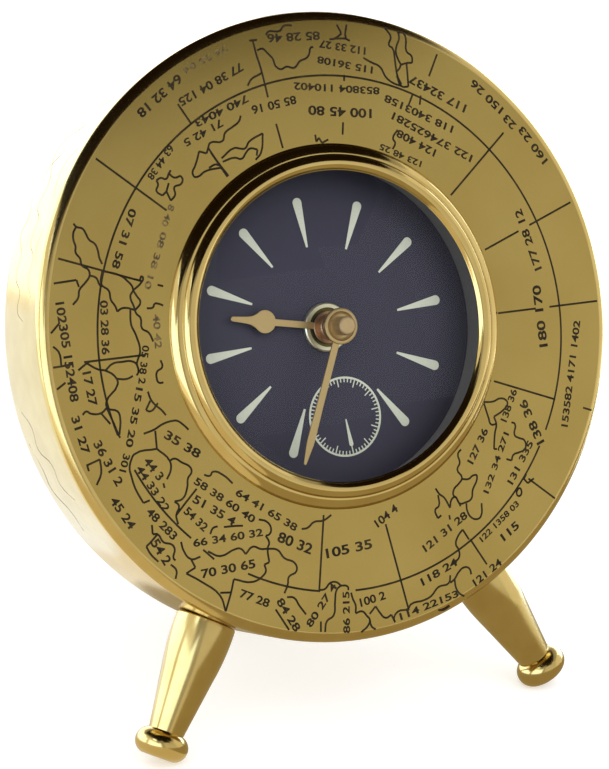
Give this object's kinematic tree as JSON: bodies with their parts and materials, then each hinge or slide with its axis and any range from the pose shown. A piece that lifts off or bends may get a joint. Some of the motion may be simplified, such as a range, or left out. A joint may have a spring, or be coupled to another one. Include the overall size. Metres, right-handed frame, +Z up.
{
  "type": "desk clock with an engraved world time dial",
  "caption": "Round brass drum clock that leans back on three turned legs, with an engraved 24-hour map face and a small round insert clock with two hands.",
  "frame": {"origin": "centre of the footprint box on the floor, under the clock", "axes": "+Z up, the face looks towards -Y and leans back 16 degrees, +X to the viewer's right"},
  "size_m": [0.152, 0.0988, 0.1712],
  "materials": {
    "engraved_brass": "satin",
    "polished_brass": "polished",
    "cover_brass": "satin",
    "hand_brass": "matte",
    "movement_brass": "satin",
    "steel": "satin",
    "can_metal": "satin",
    "nickel": "gloss",
    "cell_jacket": "gloss",
    "lens_glass": "gloss",
    "rubber": "matte",
    "ring_grey": "satin",
    "dial_paint": "satin",
    "case_plastic": "satin",
    "wheel_plastic": "satin",
    "knob_plastic": "satin",
    "board_green": "gloss",
    "copper_wire": "gloss",
    "soft_iron": "satin",
    "magnet": "matte"
  },
  "bodies": {
    "case": {"case_shell": "engraved_brass", "back_cover": "cover_brass", "cover_screws": "steel", "left_leg": "polished_brass", "right_leg": "polished_brass", "rear_leg": "polished_brass", "leg_studs": "steel", "leg_washers": "steel", "leg_nuts": "steel", "bezel": "polished_brass", "lens": "lens_glass", "lens_gasket": "rubber", "dial_ring": "ring_grey", "dial": "dial_paint", "insert_can": "can_metal", "grip_band": "rubber", "movement_washer": "rubber", "nut_washer": "hand_brass", "centre_nut": "hand_brass", "movement_front_case": "case_plastic", "movement_back_case": "case_plastic", "circuit_board": "board_green", "quartz_crystal": "nickel", "coil_bobbin": "case_plastic", "coil_winding": "copper_wire", "coil_core": "soft_iron", "stator": "soft_iron", "battery": "cell_jacket", "positive_contact": "nickel", "negative_contact": "nickel"},
    "minute": {"minute_hand": "hand_brass", "hand_nut": "hand_brass", "cannon_pinion": "movement_brass", "clutch_spring": "steel"},
    "hour": {"hour_hand": "hand_brass", "hour_wheel": "wheel_plastic"},
    "motion": {"motion_wheel": "wheel_plastic"},
    "setting": {"set_knob": "knob_plastic", "set_pinion": "wheel_plastic"},
    "centre": {"centre_wheel": "wheel_plastic"},
    "third": {"third_wheel": "wheel_plastic"},
    "seconds": {"seconds_wheel": "wheel_plastic"},
    "step": {"step_wheel": "wheel_plastic"},
    "rotor": {"rotor_pinion": "wheel_plastic", "rotor_magnet": "magnet"}
  },
  "joints": [
    {"name": "minute_turn", "type": "hinge", "parent": "case", "child": "minute", "pos_m": [0, -0.01959, 0.09602], "axis": [0, 0.9613, -0.2756], "continuous": true},
    {"name": "hour_turn", "type": "hinge", "parent": "case", "child": "hour", "pos_m": [0, -0.01959, 0.09602], "axis": [0, 0.9613, -0.2756], "continuous": true},
    {"name": "motion_turn", "type": "hinge", "parent": "case", "child": "motion", "pos_m": [0.00874, -0.02018, 0.09397], "axis": [0, 0.9613, -0.2756], "continuous": true},
    {"name": "setting_turn", "type": "hinge", "parent": "case", "child": "setting", "pos_m": [0.01769, -0.0199, 0.09492], "axis": [0, 0.9613, -0.2756], "continuous": true},
    {"name": "step_turn", "type": "hinge", "parent": "case", "child": "step", "pos_m": [-0.01603, -0.01621, 0.1078], "axis": [0, 0.9613, -0.2756], "continuous": true},
    {"name": "rotor_turn", "type": "hinge", "parent": "case", "child": "rotor", "pos_m": [-0.01652, -0.01828, 0.1006], "axis": [0, 0.9613, -0.2756], "continuous": true},
    {"name": "seconds_turn", "type": "hinge", "parent": "case", "child": "seconds", "pos_m": [-0.00595, -0.0154, 0.11063], "axis": [0, 0.9613, -0.2756], "continuous": true},
    {"name": "third_turn", "type": "hinge", "parent": "case", "child": "third", "pos_m": [0.00463, -0.01668, 0.10616], "axis": [0, 0.9613, -0.2756], "continuous": true},
    {"name": "centre_turn", "type": "hinge", "parent": "case", "child": "centre", "pos_m": [0, -0.01959, 0.09602], "axis": [0, 0.9613, -0.2756], "continuous": true}
  ],
  "couplings": [
    {"joint": "hour_turn", "follows": "minute_turn", "ratio": 0.083333},
    {"joint": "motion_turn", "follows": "minute_turn", "ratio": -0.33333},
    {"joint": "setting_turn", "follows": "minute_turn", "ratio": 1},
    {"joint": "rotor_turn", "follows": "step_turn", "ratio": -5},
    {"joint": "seconds_turn", "follows": "step_turn", "ratio": -0.16667},
    {"joint": "third_turn", "follows": "step_turn", "ratio": 0.022222},
    {"joint": "centre_turn", "follows": "step_turn", "ratio": -0.0027778}
  ]
}
